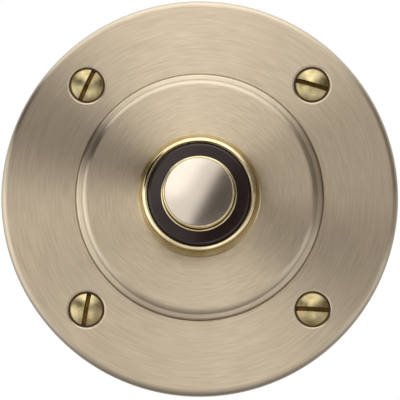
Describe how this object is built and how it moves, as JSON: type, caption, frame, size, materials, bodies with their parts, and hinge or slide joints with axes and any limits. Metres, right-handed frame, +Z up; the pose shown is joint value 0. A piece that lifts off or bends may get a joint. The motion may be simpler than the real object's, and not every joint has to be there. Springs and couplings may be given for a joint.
{
  "type": "doorbell push button",
  "caption": "Round stepped brass doorbell push for a wall or door frame, with a sprung button in a black ring and polished collar, countersunk fixing screws and a contact switch behind.",
  "frame": {"origin": "centre of the face plate's back face, on the wall", "axes": "+Z up, +X to the right seen from the front, the front faces -Y and +Y goes into the wall"},
  "size_m": [0.0636, 0.0271, 0.0636],
  "materials": {
    "brushed_brass": "lathe-brushed antique brass, lacquered",
    "screw_brass": "bright brass, slightly toned",
    "polished_brass": "mirror polished brass",
    "turned_brass": "as turned",
    "contact_brass": "stamped strip, satin",
    "polished_nickel": "mirror polished nickel, slightly warm",
    "black_phenolic": "glossy black moulding",
    "brown_phenolic": "brown phenolic moulding, semi-matt",
    "red_fibre": "vulcanised fibre",
    "spring_steel": "blued spring steel",
    "spring_wire": "drawn steel wire"
  },
  "bodies": {
    "housing": {"face_plate": "brushed_brass", "fixing_screws": "screw_brass", "bezel_shell": "polished_brass", "lock_washer": "spring_steel", "ring_nut": "turned_brass", "insulator_body": "black_phenolic", "guide_bush": "polished_brass", "return_spring": "spring_wire", "contact_strip_right": "contact_brass", "contact_strip_left": "contact_brass", "terminal_base": "brown_phenolic", "terminal_washers": "contact_brass", "terminal_screws": "turned_brass"},
    "button": {"button_cap": "polished_brass", "button_face": "polished_nickel", "plunger_stem": "turned_brass", "retaining_clip": "spring_steel", "fibre_bush": "red_fibre", "contact_disc": "contact_brass", "fibre_washer": "red_fibre", "contact_nut": "turned_brass"}
  },
  "joints": [
    {"name": "button_press", "type": "slide", "parent": "housing", "child": "button", "axis": [0, 1, 0], "range_m": [0, 0.002], "stiffness_N_per_m": 600, "springref_m": -0.003, "deforming": ["return_spring"]}
  ]
}
